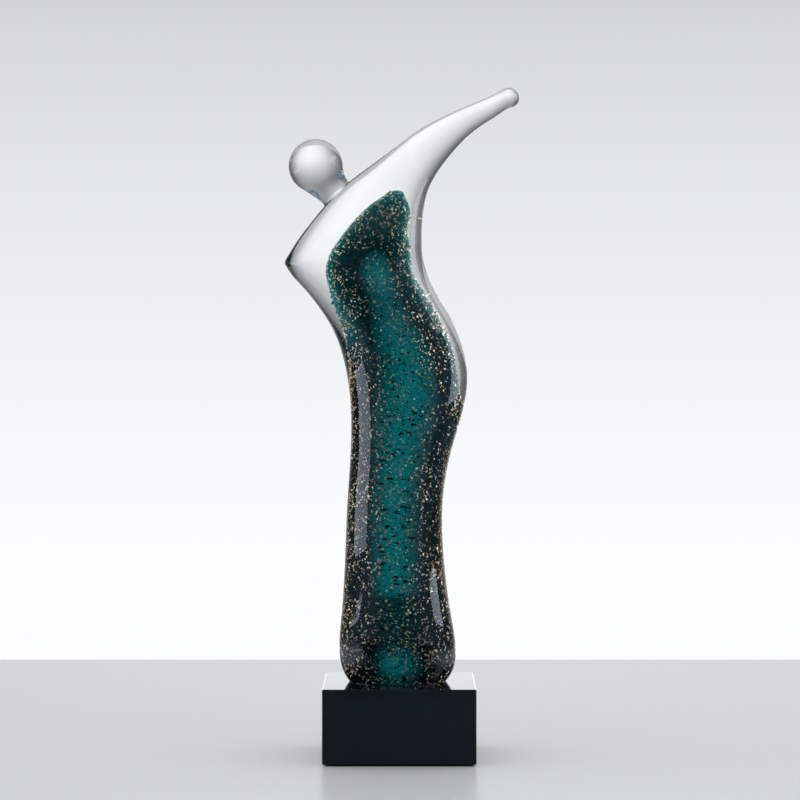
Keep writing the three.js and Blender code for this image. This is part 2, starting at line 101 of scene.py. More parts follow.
class Graph:
    """Builds a node tree: shader, world or geometry."""

    NOISE_REACH = (0.3, 0.7)

    def __init__(self, tree: bpy.types.NodeTree) -> None:
        """Keep the tree and empty it."""
        self.tree = tree
        tree.nodes.clear()

    def add(self, kind: str, sockets: dict | None = None, **settings: object) -> bpy.types.Node:
        """Add a node, set its settings and then its sockets.

        Args:
            kind: Node type name.
            sockets: Input sockets by name or index, as plain values, sockets or signals.
            settings: Properties of the node. A ramp's stops are (place, colour) pairs.

        Returns:
            The new node.
        """
        node = self.tree.nodes.new(kind)
        for name, value in settings.items():
            if name == "stops":
                self._set_stops(node.color_ramp, value)
            else:
                setattr(node, name, value)
        for name, value in (sockets or {}).items():
            self.feed(node.inputs[name], value)
        return node

    @staticmethod
    def _set_stops(ramp: bpy.types.ColorRamp, stops: list[tuple[float, Colour]]) -> None:
        """Give a colour ramp its stops.

        Args:
            ramp: Ramp of a Color Ramp node.
            stops: Place and colour of each stop, in rising order.
        """
        while len(ramp.elements) < len(stops):
            ramp.elements.new(1.0)
        for element, (position, colour) in zip(ramp.elements, stops):
            element.position = position
            element.color = colour

    def feed(self, target: Socket, value: object) -> None:
        """Link or set one input socket.

        Args:
            target: Input socket.
            value: Signal, output socket or plain value.
        """
        if isinstance(value, Signal):
            value = value.socket
        if isinstance(value, Socket):
            self.tree.links.new(value, target)
        else:
            target.default_value = value

    def signal(self, node: bpy.types.Node, output: str | int = 0) -> "Signal":
        """Wrap one output of a node for arithmetic."""
        return Signal(self, node.outputs[output])

    def math(self, operation: str, *values: object) -> "Signal":
        """Add a Math node with one to three operands."""
        return self.signal(self.add("ShaderNodeMath", dict(enumerate(values)), operation=operation))

    def axes(self, output: str) -> list["Signal"]:
        """Split one of the texture coordinates into x, y and z."""
        split = self.add("ShaderNodeSeparateXYZ", {0: self.coordinates(output)})
        return [self.signal(split, axis) for axis in range(3)]

    def coordinates(self, output: str) -> Socket:
        """Add the texture coordinates and give one of them."""
        return self.add("ShaderNodeTexCoord").outputs[output]

    def remap(
        self, value: object, reach: tuple[float, float], target: tuple[float, float] = (0.0, 1.0)
    ) -> "Signal":
        """Map a reach of values onto a target range, and hold it there outside the reach.

        Args:
            value: Value to map.
            reach: Values that give the ends of the range.
            target: The range.

        Returns:
            The mapped value.
        """
        names = ("From Min", "From Max", "To Min", "To Max")
        sockets = {"Value": value, **dict(zip(names, (*reach, *target)))}
        return self.signal(self.add("ShaderNodeMapRange", sockets))

    def noise(
        self, scale: float, detail: float, stretch: tuple[float, float, float] = (1.0, 1.0, 1.0)
    ) -> "Signal":
        """Add noise on the object's own coordinates, spread over 0 to 1.

        Args:
            scale: Scale of the noise, per metre.
            detail: Detail of the noise.
            stretch: Share of the scale along each axis.

        Returns:
            The noise as a signal.
        """
        mapping = {"Vector": self.coordinates("Object"), "Scale": stretch}
        mapped = self.add("ShaderNodeMapping", mapping).outputs[0]
        sockets = {"Vector": mapped, "Scale": scale, "Detail": detail}
        return self.remap(self.signal(self.add("ShaderNodeTexNoise", sockets)), self.NOISE_REACH)

    def mirrored(self) -> "Signal":
        """Find the rays that come from a mirroring surface and not through glass.

        Returns:
            1 for such a ray and 0 for others.
        """
        path = self.add("ShaderNodeLightPath")
        passed = self.signal(path, "Is Transmission Ray")
        return self.math("MAXIMUM", self.signal(path, "Is Glossy Ray") - passed, 0.0)

    def mix_colour(
        self, share: object, first: object, second: object, blend: str = "MIX"
    ) -> Socket:
        """Mix two colours by the share of the second."""
        # Inputs 6 and 7 and output 2 of the Mix node are its colours.
        sockets = {0: share, 6: first, 7: second}
        return self.add("ShaderNodeMix", sockets, data_type="RGBA", blend_type=blend).outputs[2]

    def surface(
        self, sockets: dict, lit_through: bool = False, volume: Socket | None = None
    ) -> None:
        """Add the shader and the output of a material.

        Args:
            sockets: Sockets of the principled shader.
            lit_through: Whether the rays of the lamps pass, as they do through glass.
            volume: Shader of the inside, where there is one.
        """
        shader = self.add("ShaderNodeBsdfPrincipled", sockets).outputs[0]
        if lit_through:
            shadow = self.add("ShaderNodeLightPath").outputs["Is Shadow Ray"]
            clear = self.add("ShaderNodeBsdfTransparent").outputs[0]
            shader = self.add("ShaderNodeMixShader", {0: shadow, 1: shader, 2: clear}).outputs[0]
        outputs = {"Surface": shader}
        if volume is not None:
            outputs["Volume"] = volume
        self.add("ShaderNodeOutputMaterial", outputs)


class Signal:
    """Number socket that takes part in Python arithmetic."""

    def __init__(self, graph: Graph, socket: Socket) -> None:
        """Keep the graph and the socket."""
        self.graph = graph
        self.socket = socket

    def __add__(self, other: object) -> "Signal":
        """Add a value."""
        return self.graph.math("ADD", self, other)

    def __sub__(self, other: object) -> "Signal":
        """Subtract a value."""
        return self.graph.math("SUBTRACT", self, other)

    def __mul__(self, other: object) -> "Signal":
        """Multiply by a value."""
        return self.graph.math("MULTIPLY", self, other)

    def __truediv__(self, other: object) -> "Signal":
        """Divide by a value."""
        return self.graph.math("DIVIDE", self, other)


@dataclass(frozen=True)
class BodySection:
    """Level section of the figure below the elbow.

    Its height is a share of the body's. A positive lean takes depth from the right side and gives
    it to the left, on the front or on the back. The swell fills both sides out from an ellipse
    towards a slab with round ends.
    """

    share: float
    left: float
    right: float
    depth: float
    front_lean: float = 0.0
    back_lean: float = 0.0
    swell: float = 0.0


@dataclass(frozen=True)
class ArmSection:
    """Section above the elbow, with its ends as shares of the arm's reach and rise."""

    left: tuple[float, float]
    right: tuple[float, float]
    depth: float
    front_lean: float = 0.0
    back_lean: float = 0.0
    swell: float = 0.0


@dataclass(frozen=True)
class Wall:
    """Clear glass left, right and in front of the core, at a share of the body's height."""

    share: float
    left: float
    right: float
    face: float


def rows_of(kind: type, *rows: tuple) -> tuple:
    """Make one item of a class from each row of values."""
    return tuple(kind(*row) for row in rows)


@dataclass(frozen=True)
class Sections:
    """Row of sections, in millimetres from the foot.

    The left and right ends are rows of x and rise, the depth is half of the full one, and the
    shape holds rows of front lean, back lean and swell.
    """

    left: Array
    right: Array
    depth: Array
    shape: Array

    def inset(self, left: Array, right: Array, face: Array) -> "Sections":
        """Move the ends and the faces inwards by their walls.

        Args:
            left: Wall at the left end of each section.
            right: Wall at the right end of each section.
            face: Wall at the front and back of each section.

        Returns:
            The smaller sections.
        """
        across = self.right - self.left
        across = across / np.linalg.norm(across, axis=1, keepdims=True)
        return Sections(
            self.left + across * np.reshape(left, (-1, 1)),
            self.right - across * np.reshape(right, (-1, 1)),
            self.depth - face,
            self.shape,
        )

    def grown(self, margin: float) -> "Sections":
        """Move the ends and the faces outwards by a margin."""
        outwards = np.full(len(self.depth), -margin)
        return self.inset(outwards, outwards, outwards)


def spline(knots: Array, rows: Array) -> Callable[[Array], Array]:
    """Make a natural cubic spline, smooth in slope and curvature, through rows of numbers.

    Args:
        knots: Rising parameter of each row.
        rows: Rows of numbers, one for each knot.

    Returns:
        Function from an array of parameters to an array of rows.
    """
    count = len(knots)
    step = np.diff(knots)
    rise = np.diff(rows, axis=0) / step[:, None]
    system = np.eye(count)
    target = np.zeros_like(rows)
    for row in range(1, count - 1):
        system[row, row - 1 : row + 2] = (step[row - 1], 2 * (step[row - 1] + step[row]), step[row])
        target[row] = 6 * (rise[row] - rise[row - 1])
    bend = np.linalg.solve(system, target)

    def at(parameter: Array) -> Array:
        """Evaluate the spline.

        Args:
            parameter: One parameter, or an array of them.

        Returns:
            A row of numbers for each parameter.
        """
        parameter = np.atleast_1d(parameter)
        row = np.clip(np.searchsorted(knots, parameter, side="right") - 1, 0, count - 2)
        width = step[row][:, None]
        after = (parameter - knots[row])[:, None]
        before = width - after
        curve = (bend[row] * before**3 + bend[row + 1] * after**3) / (6 * width)
        first = (rows[row] / width - bend[row] * width / 6) * before
        second = (rows[row + 1] / width - bend[row + 1] * width / 6) * after
        return curve + first + second

    return at


def round_share(distance: Array, radius: float) -> Array:
    """Find the width of a round end as a share of the full width, at a distance from it."""
    return np.sqrt(np.clip(1 - (distance / radius) ** 2, 0, 1))


@dataclass(frozen=True)
class Figure:
    """Outside of the figure, the walls over the coloured core and those around the clear gather.

    Of the gather's rings, one share goes to each of its roundings and one to its long body.
    """

    body_height: float = 221.5
    arm_reach: float = 121.7
    arm_rise: float = 91.7
    fingertip_reach: float = 5.4
    elbow_rounding: float = 1.6
    tip_rounding: float = 0.3
    tip_focus: float = 5.0
    body: tuple[BodySection, ...] = rows_of(
        BodySection,
        (0.0, -26.6, 24.9, 24.0), (0.032, -30.3, 28.9, 26.8), (0.09, -31.9, 29.9, 28.6),
        (0.167, -30.6, 27.3, 28.8), (0.28, -29.0, 24.1, 28.6), (0.415, -27.8, 23.1, 28.4),
        (0.533, -26.1, 26.8, 28.0, 0.04, -0.04), (0.632, -25.7, 32.9, 27.6, 0.12, -0.12),
        (0.713, -27.2, 36.1, 27.2, 0.17, -0.2), (0.781, -30.4, 34.5, 26.6, 0.14, -0.2, 0.05),
        (0.853, -36.9, 28.9, 25.2, 0.06, -0.16, 0.16), (0.925, -48.3, 20.0, 23.8, 0.0, -0.14, 0.26),
        (0.966, -56.4, 15.4, 22.8, 0.0, -0.14, 0.32), (1.0, -61.2, 13.1, 22.0, 0.0, -0.14, 0.36),
    )
    arm: tuple[ArmSection, ...] = rows_of(
        ArmSection,
        ((0.055, 0.118), (0.603, 0.055), 21.4, 0.0, -0.12, 0.39),
        ((0.114, 0.224), (0.602, 0.104), 20.8, 0.0, -0.1, 0.4),
        ((0.235, 0.409), (0.603, 0.213), 18.6, 0.0, -0.05, 0.4),
        ((0.367, 0.549), (0.615, 0.344), 15.2, 0.0, 0.0, 0.37),
        ((0.478, 0.659), (0.646, 0.465), 11.9, 0.0, 0.0, 0.34),
        ((0.602, 0.776), (0.716, 0.603), 9.1, 0.0, 0.0, 0.32),
        ((0.754, 0.878), (0.815, 0.742), 6.4, 0.0, 0.0, 0.28),
        ((0.872, 0.943), (0.915, 0.834), 5.2, 0.0, 0.0, 0.2),
        ((0.926, 0.977), (0.965, 0.879), 4.9, 0.0, 0.0, 0.12), ((0.958, 1.0), (1.0, 0.896), 5.3),
    )
    walls: tuple[Wall, ...] = rows_of(
        Wall,
        (0.0, 5.0, 5.0, 5.0), (0.09, 6.5, 6.5, 6.5), (0.533, 6.5, 6.5, 6.5), (0.65, 7.0, 8.6, 6.7),
        (0.72, 9.8, 11.4, 6.8), (0.8, 12.5, 12.6, 6.7), (0.866, 14.6, 14.4, 6.6),
        (0.93, 17.1, 14.2, 6.6), (0.992, 21.4, 12.4, 6.5), (1.037, 22.8, 11.6, 6.6),
        (1.082, 23.4, 11.6, 6.8), (1.138, 25.8, 11.2, 7.6), (1.156, 28.0, 13.0, 9.4),
    )
    crown_top_share: float = 1.166
    crown_top_x: float = -1.4
    colour_walls: tuple[Wall, ...] = rows_of(
        Wall,
        (0.0, 10.4, 10.4, 7.2), (0.48, 10.4, 10.4, 7.2), (0.65, 9.0, 8.6, 7.2),
        (0.72, 8.8, 8.2, 7.2), (0.857, 8.6, 7.6, 8.4), (0.936, 14.5, 7.0, 9.4),
        (1.03, 17.0, 7.5, 10.6),
    )
    stem_size: tuple[float, float] = (9.0, 9.0)
    lens_level: float = 11.6
    lens_size: tuple[float, float, float] = (10.4, 14.5, 10.4)
    gather_foot: float = 42.6
    gather_rounding: float = 6.0
    gather_shoulder_share: float = 0.95
    gather_top_share: float = 1.03
    gather_turn_share: float = 0.125
    gather_body_share: float = 0.5
    fused_gap: float = 0.02
    dense: int = 4000
    rounding_steps: int = 21
    _rails: dict = field(default_factory=dict, repr=False, compare=False)

    def rails(self) -> dict[str, Callable[[Array], Array]]:
        """Build the splines through the section ends, depths and walls once.

        Returns:
            Splines by name: left_body, left_arm, right, shape, wall and colour.
        """
        if not self._rails:
            height = self.body_height
            left_body = [(section.left, section.share * height) for section in self.body]
            right_body = [(section.right, section.share * height) for section in self.body]
            left_arm = [self._arm_point(section.left) for section in self.arm]
            right_arm = [self._arm_point(section.right) for section in self.arm]
            every = (*self.body, *self.arm)
            rows_by_name = {
                "left_body": left_body,
                "left_arm": left_body[-1:] + left_arm,
                "right": right_body + right_arm,
                "shape": [(row.depth, row.front_lean, row.back_lean, row.swell) for row in every],
            }
            for name, rows in rows_by_name.items():
                self._rails[name] = spline(np.arange(len(rows), dtype=float), np.array(rows, float))
            for name, walls in {"wall": self.walls, "colour": self.colour_walls}.items():
                levels = np.array([wall.share * height for wall in walls])
                rows = np.array([(wall.left, wall.right, wall.face) for wall in walls], float)
                self._rails[name] = spline(levels, rows)
        return self._rails

    def _arm_point(self, shares: tuple[float, float]) -> tuple[float, float]:
        """Place an arm point given as shares of reach and rise from the elbow."""
        elbow = self.body[-1]
        return elbow.left + shares[0] * self.arm_reach, self.body_height + shares[1] * self.arm_rise

    @property
    def elbow_index(self) -> int:
        """Index of the elbow's section."""
        return len(self.body) - 1

    @property
    def last_index(self) -> int:
        """Index of the fingertip's section."""
        return len(self.body) + len(self.arm) - 1

    def left_rail(self, index: Array, rounding: float) -> Array:
        """Find points of the left outline, whose corner at the elbow is rounded.

        Args:
            index: Section indices, which may lie between sections.
            rounding: Reach of the rounding, as a share of the step between sections.

        Returns:
            Rows of x and rise.
        """
        rails = self.rails()
        elbow = self.elbow_index
        nearness = np.clip(1 - np.abs(index - elbow) / (2 * rounding), 0, 1)
        width = rounding * nearness
        total = np.zeros((len(index), 2))
        offsets = np.linspace(-1, 1, self.rounding_steps)
        weights = np.cos(offsets * math.pi / 2) ** 2
        for offset, weight in zip(offsets, weights):
            spot = index + offset * width
            body = rails["left_body"](np.clip(spot, 0, elbow))
            arm = rails["left_arm"](np.clip(spot - elbow, 0, None))
            total += weight * np.where((spot <= elbow)[:, None], body, arm)
        return total / weights.sum()

    def sections_at(self, index: Array) -> Sections:
        """Find the outside sections at section indices.

        Args:
            index: Section indices, which may lie between sections.

        Returns:
            The sections there.
        """
        rails = self.rails()
        shape = rails["shape"](index)
        left = self.left_rail(index, self.elbow_rounding)
        return Sections(left, rails["right"](index), shape[:, 0], shape[:, 1:])

    def elbow_point(self, index: Array) -> Array:
        """Find how far the elbow's point pulls the left ends out of the softly rounded outline."""
        return self.left_rail(index, self.tip_rounding) - self.left_rail(index, self.elbow_rounding)

    def even_index(self, rings: int) -> Array:
        """Find section indices that are evenly spaced along the outline.

        Args:
            rings: Number of sections.

        Returns:
            The indices from the foot to the fingertip.
        """
        index = np.linspace(0, self.last_index, self.dense)
        sections = self.sections_at(index)
        sides = (sections.left, sections.right)
        moved = [np.linalg.norm(np.diff(side, axis=0), axis=1) for side in sides]
        travel = np.concatenate([[0], np.cumsum(np.maximum(*moved))])
        return np.interp(np.linspace(0, travel[-1], rings), travel, index)

    def level(self, rise: Array) -> Sections:
        """Find level sections of the outside at given rises.

        Args:
            rise: Heights above the foot.

        Returns:
            The level sections.
        """
        sections = self.sections_at(np.linspace(0, self.last_index, self.dense))
        middle = (sections.left[:, 1] + sections.right[:, 1]) / 2
        left = np.interp(rise, sections.left[:, 1], sections.left[:, 0])
        right = np.interp(rise, sections.right[:, 1], sections.right[:, 0])
        shape = [np.interp(rise, middle, sections.shape[:, column]) for column in range(3)]
        return Sections(
            np.column_stack([left, rise]),
            np.column_stack([right, rise]),
            np.interp(rise, middle, sections.depth),
            np.column_stack(shape),
        )

    def core(self, rise: Array) -> Sections:
        """Find level sections of the coloured core."""
        walls = self.rails()["wall"](rise)
        return self.level(rise).inset(walls[:, 0], walls[:, 1], walls[:, 2])

    def gather(self, rise: Array, margin: float = 0.0) -> Sections:
        """Find level sections of the clear gather: lens in the foot, flat stem and long body.

        Args:
            rise: Heights above the foot.
            margin: How much the gather is grown.

        Returns:
            The level sections, all elliptical.
        """
        walls = self.rails()["colour"](rise)
        hull = self.core(rise).inset(walls[:, 0], walls[:, 1], walls[:, 2])
        middle = (hull.left[:, 0] + hull.right[:, 0]) / 2
        body_foot, shoulder, top = self.gather_levels
        body = round_share(np.clip(body_foot - rise, 0, None), self.gather_rounding + margin)
        closing = round_share(np.clip(rise - shoulder, 0, None), top - shoulder + margin)
        half_width, half_depth, half_height = self.lens_size
        lens = round_share(rise - self.lens_level, half_height + margin)
        stem_width, stem_depth = np.outer(self.stem_size, np.ones(len(rise)))
        widths = [(hull.right[:, 0] - middle) * body, half_width * lens, stem_width]
        depths = [hull.depth * body, half_depth * lens, stem_depth]
        width, depth = (np.maximum.reduce(row) * closing + margin for row in (widths, depths))
        left, right = (np.column_stack([edge, rise]) for edge in (middle - width, middle + width))
        return Sections(left, right, depth, np.zeros((len(rise), 3)))

    def gather_rises(self, rings: int, margin: float) -> Array:
        """Find the heights of the gather's rings, close together where its width changes fast.

        Args:
            rings: Number of rings, roughly.
            margin: How much the gather is grown.

        Returns:
            Heights above the foot.
        """
        turn = np.linspace(0, math.pi, int(rings * self.gather_turn_share))
        lens = self.lens_level - (self.lens_size[2] + margin) * np.cos(turn)
        body_foot, shoulder, top = self.gather_levels
        foot = body_foot - (self.gather_rounding + margin) * np.cos(turn / 2)
        body = np.linspace(body_foot, shoulder, int(rings * self.gather_body_share))
        closing = shoulder + (top - shoulder + margin) * np.sin(turn / 2)
        return np.concatenate([[0.0], lens, foot, body[1:], closing[1:-1]])

    @property
    def gather_levels(self) -> tuple[float, float, float]:
        """Heights where the gather's body starts, where it begins to close and where it ends."""
        foot, height = self.gather_foot + self.gather_rounding, self.body_height
        return foot, self.gather_shoulder_share * height, self.gather_top_share * height


@dataclass(frozen=True)
class Skin:
    """Counts of the points and rings of a finely meshed surface."""

    points: int = 128
    rings: int = 320
    dome_rings: int = 14

    def domed(self, sections: Sections, apex: Array) -> Sections:
        """Add the sections that round a loft off between its last section and its apex.

        Args:
            sections: Sections of the loft.
            apex: End point as x and rise.

        Returns:
            The longer row of sections, without the apex.
        """
        left, right, depth = sections.left[-1], sections.right[-1], sections.depth[-1]
        centre = (left + right) / 2
        half = right - centre
        reach = apex - centre
        sideways = half * (reach @ half) / (half @ half)
        forwards = reach - sideways
        angle = np.arange(1, self.dome_rings)[:, None] / self.dome_rings * math.pi / 2
        middle = centre + forwards * np.sin(angle) + sideways * (1 - np.cos(angle))
        reduced = half * np.cos(angle)
        return Sections(
            np.vstack([sections.left, middle - reduced]),
            np.vstack([sections.right, middle + reduced]),
            np.concatenate([sections.depth, depth * np.cos(angle[:, 0])]),
            np.vstack([sections.shape, np.repeat(sections.shape[-1:], len(angle), axis=0)]),
        )

    def rings_of(self, sections: Sections) -> Array:
        """Make an oval of points round each section.

        Args:
            sections: Sections of the loft.

        Returns:
            Points as an array of rings, points and coordinates.
        """
        angle = ring_angles(self.points)
        centre = (sections.left + sections.right) / 2
        half = sections.right - centre
        outline = centre[:, None, :] + half[:, None, :] * np.cos(angle)[None, :, None]
        front, back, swell = (sections.shape[:, column, None] for column in range(3))
        lean = np.where(np.sin(angle) < 0, front, back)
        fullness = 1 - lean * np.cos(angle) + swell * np.cos(angle) ** 2
        depth = sections.depth[:, None] * np.sin(angle)[None, :] * fullness
        return np.stack([outline[:, :, 0], depth, outline[:, :, 1]], axis=2)


def ring_angles(count: int) -> Array:
    """Find the angles of evenly spaced points round a ring."""
    return np.arange(count) / count * 2 * math.pi


def in_space(point: Array) -> Array:
    """Put a point of x and rise in the middle plane, as x, y and z."""
    return np.array([point[0], 0.0, point[1]])


def mesh_of_rings(name: str, start: Array, rings: Array, end: Array, base: float) -> Mesh:
    """Make a closed mesh from a start point over rings to an end point.

    Args:
        name: Name of the mesh.
        start: First point, in millimetres from the foot.
        rings: Rings of points.
        end: Last point.
        base: Height of the foot, in millimetres.

    Returns:
        The mesh in metres.
    """
    count, size = rings.shape[:2]
    points = np.vstack([start[None], rings.reshape(-1, 3), end[None]])
    points[:, 2] += base
    side = list(range(size))
    after = side[1:] + side[:1]
    faces = [(0, 1 + b, 1 + a) for a, b in zip(side, after)]
    for ring in range(count - 1):
        low = 1 + ring * size
        high = low + size
        faces += [(low + a, low + b, high + b, high + a) for a, b in zip(side, after)]
    top = 1 + (count - 1) * size
    last = len(points) - 1
    faces += [(top + a, top + b, last) for a, b in zip(side, after)]
    mesh = bpy.data.meshes.new(name)
    mesh.from_pydata((points * MM).tolist(), [], faces)
    mesh.update()
    return mesh


def smooth(mesh: Mesh) -> Mesh:
    """Shade a mesh smooth but for its sharp edges.

    Args:
        mesh: Mesh to shade.

    Returns:
        The same mesh.
    """
    mesh.shade_smooth()
    mesh.set_sharp_from_angle(angle=SHARP_ANGLE)
    return mesh


def dressed(mesh: Mesh, *finishes: Material) -> Mesh:
    """Give a mesh its materials in place of those it has, with every face in the first.

    Args:
        mesh: Mesh to dress.
        finishes: Its materials.

    Returns:
        The same mesh.
    """
    mesh.materials.clear()
    for finish in finishes:
        mesh.materials.append(finish)
    return mesh


def add_object(name: str, data: bpy.types.ID) -> bpy.types.Object:
    """Put a new object in the scene.

    Args:
        name: Name of the object.
        data: Its mesh, light or camera.

    Returns:
        The new object.
    """
    item = bpy.data.objects.new(name, data)
    bpy.context.scene.collection.objects.link(item)
    return item


def evaluated_mesh(item: bpy.types.Object) -> Mesh:
    """Make a plain mesh of an object as its modifiers leave it."""
    graph = bpy.context.evaluated_depsgraph_get()
    return bpy.data.meshes.new_from_object(item.evaluated_get(graph))


def boolean(mesh: Mesh, tool: Mesh, operation: str) -> Mesh:
    """Combine a mesh with a tool, keeping the materials of both.

    Args:
        mesh: Mesh to work on, which is left as it is.
        tool: The other mesh, also left as it is.
        operation: DIFFERENCE or INTERSECT.

    Returns:
        A new mesh.
    """
    target = add_object("boolean_target", mesh)
    cutter = add_object("boolean_tool", tool)
    modifier = target.modifiers.new("boolean", "BOOLEAN")
    modifier.operation = operation
    modifier.solver = "EXACT"
    modifier.material_mode = "TRANSFER"
    modifier.object = cutter
    result = evaluated_mesh(target)
    for item in (target, cutter):
        bpy.data.objects.remove(item)
    return result


def place(name: str, mesh: Mesh, slot: Slot, *nodes: str) -> None:
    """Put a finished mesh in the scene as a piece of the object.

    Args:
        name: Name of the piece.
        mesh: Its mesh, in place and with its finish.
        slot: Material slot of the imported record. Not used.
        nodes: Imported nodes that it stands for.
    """
    mesh.name = name
    piece = add_object(name, mesh)
    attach(piece, BODY)
    if nodes:
        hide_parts(*nodes)
    LOG.info("%s: %d faces", name, len(mesh.polygons))


def new_material(name: str) -> tuple[Material, Graph]:
    """Make an empty material.

    Args:
        name: Name of the material.

    Returns:
        The material and the graph that builds its nodes.
    """
    material = bpy.data.materials.new(name)
    material.use_nodes = True
    return material, Graph(material.node_tree)


@dataclass(frozen=True)
class ClearGlass:
    """Fire-polished clear glass, or with an index of 1 the place where two glasses are fused."""

    name: str = "clear_glass"
    ior: float = 1.5
    streak: Colour = (0.985, 0.995, 0.995, 1.0)
    streak_scale: float = 30.0
    wave_scale: float = 42.0
    wave_height: float = 0.02 * MM

    def build(self) -> Material:
        """Make the material: faint streaks in its colour, and soft waves where it meets the air.

        Returns:
            The material.
        """
        material, graph = new_material(self.name)
        sockets = {
            "Base Color": graph.mix_colour(graph.noise(self.streak_scale, 2.0), WHITE, self.streak),
            "Roughness": 0.0,
            "IOR": self.ior,
            "Transmission Weight": 1.0,
        }
        if self.ior > 1:
            waves = graph.noise(self.wave_scale, 1.0)
            bump = {"Strength": 1.0, "Distance": self.wave_height, "Height": waves}
            sockets["Normal"] = graph.add("ShaderNodeBump", bump).outputs[0]
        graph.surface(sockets, lit_through=True)
        return material


@dataclass(frozen=True)
class TealGlass:
    """Transparent coloured glass, fused to clear glass of the same refraction."""

    name: str = "teal_glass"
    tint: Colour = (0.0, 0.706, 0.714, 1.0)
    density: float = 490.0
    streak: Colour = (0.84, 0.93, 0.95, 1.0)
    streak_scale: float = 130.0
    streak_stretch: tuple[float, float, float] = (1.0, 1.0, 0.16)

    def build(self) -> Material:
        """Make the material: no refraction of its own, absorption inside and upright streaks.

        Returns:
            The material.
        """
        material, graph = new_material(self.name)
        streaks = graph.noise(self.streak_scale, 2.0, self.streak_stretch)
        sockets = {
            "Base Color": graph.mix_colour(streaks, WHITE, self.streak),
            "Roughness": 0.0,
            "IOR": 1.0,
            "Transmission Weight": 1.0,
        }
        absorption = {"Color": self.tint, "Density": self.density}
        volume = graph.add("ShaderNodeVolumeAbsorption", absorption).outputs[0]
        graph.surface(sockets, lit_through=True, volume=volume)
        return material


@dataclass(frozen=True)
class BlackGlass:
    """Opaque black glass, cut and polished."""

    name: str = "black_glass"
    ior: float = 1.52
    # Both colours are partly painted reflection: their blue-grey lift stands in for the table in
    # front, which the polished front face mirrors. The clouds between them are the glass's own
    # tone.
    dark: Colour = linear(21, 28, 34)
    light: Colour = linear(27, 34, 41)
    cloud_scale: float = 18.0
    wiping_scale: float = 55.0
    polish: tuple[float, float] = (0.01, 0.05)

    def build(self) -> Material:
        """Make the material: faint clouds in the colour and in the polish.

        Returns:
            The material.
        """
        material, graph = new_material(self.name)
        clouds = graph.noise(self.cloud_scale, 2.0)
        wiping = graph.noise(self.wiping_scale, 4.0)
        sockets = {
            "Base Color": graph.mix_colour(clouds, self.dark, self.light),
            "Roughness": wiping * (self.polish[1] - self.polish[0]) + self.polish[0],
            "IOR": self.ior,
        }
        graph.surface(sockets)
        return material


@dataclass(frozen=True)
class GoldFleck:
    """Metallic chips whose tone runs from copper to pale gold."""

    name: str = "gold_fleck"
    metallic: float = 0.25
    roughness: float = 0.25
    roughness_spread: float = 0.2
    grain_scale: float = 900.0
    tones: tuple[tuple[float, Colour], ...] = (
        (0.0, linear(168, 104, 72)),
        (0.22, linear(222, 176, 130)),
        (0.45, linear(246, 224, 182)),
        (1.0, linear(254, 244, 218)),
    )

    def build(self) -> Material:
        """Make the material.

        Returns:
            The material.
        """
        material, graph = new_material(self.name)
        tone = graph.add("ShaderNodeAttribute", attribute_name=Flecks.TONE)
        ramp = graph.add("ShaderNodeValToRGB", {0: tone.outputs["Fac"]}, stops=self.tones)
        rough = graph.noise(self.grain_scale, 1.0) * self.roughness_spread + self.roughness
        sockets = {"Base Color": ramp.outputs[0], "Metallic": self.metallic, "Roughness": rough}
        graph.surface(sockets)
        return material


@dataclass(frozen=True)
class ClearGlue:
    """Thin film of set adhesive, slightly cloudy."""

    name: str = "clear_adhesive"
    ior: float = 1.48
    colour: Colour = linear(40, 46, 50)
    cloud: Colour = linear(66, 72, 76)
    cloud_scale: float = 240.0
    clearness: float = 0.6
    roughness: float = 0.1
    roughness_spread: float = 0.2

    def build(self) -> Material:
        """Make the material: the dark block shows through, with clouds and a soft gloss.

        Returns:
            The material.
        """
        material, graph = new_material(self.name)
        clouds = graph.noise(self.cloud_scale, 3.0)
        sockets = {
            "Base Color": graph.mix_colour(clouds, self.colour, self.cloud),
            "Roughness": clouds * self.roughness_spread + self.roughness,
            "IOR": self.ior,
            "Transmission Weight": self.clearness,
        }
        graph.surface(sockets)
        return material


@dataclass(frozen=True)
class BlackFelt:
    """Short black felt with a tangle of fibres."""

    name: str = "black_felt"
    dark: Colour = linear(12, 12, 13)
    light: Colour = linear(38, 38, 40)
    fibre_scale: float = 1400.0
    fibre_stretch: float = 0.25
    nap: float = 0.3 * MM
    relief: float = 0.8
    roughness: float = 0.95
    sheen: float = 0.4

    def build(self) -> Material:
        """Make the material: two crossed runs of fibres in its colour and relief.

        Returns:
            The material.
        """
        material, graph = new_material(self.name)
        across = graph.noise(self.fibre_scale, 3.0, (1.0, self.fibre_stretch, 1.0))
        along = graph.noise(self.fibre_scale, 3.0, (self.fibre_stretch, 1.0, 1.0))
        fibres = graph.math("MAXIMUM", across, along)
        bump = {"Strength": self.relief, "Distance": self.nap, "Height": fibres}
        sockets = {
            "Base Color": graph.mix_colour(fibres, self.dark, self.light),
            "Roughness": self.roughness,
            "Sheen Weight": self.sheen,
            "Normal": graph.add("ShaderNodeBump", bump).outputs[0],
        }
        graph.surface(sockets)
        return material


@dataclass(frozen=True)
class Finishes:
    """The materials of the trophy."""

    clear: Material
    fused: Material
    teal: Material
    black: Material
    fleck: Material
    glue: Material
    felt: Material

    @classmethod
    def build(cls) -> "Finishes":
        """Make every material once.

        Returns:
            The materials.
        """
        return cls(
            clear=ClearGlass().build(),
            fused=ClearGlass("fused_glass", 1.0).build(),
            teal=TealGlass().build(),
            black=BlackGlass().build(),
            fleck=GoldFleck().build(),
            glue=ClearGlue().build(),
            felt=BlackFelt().build(),
        )


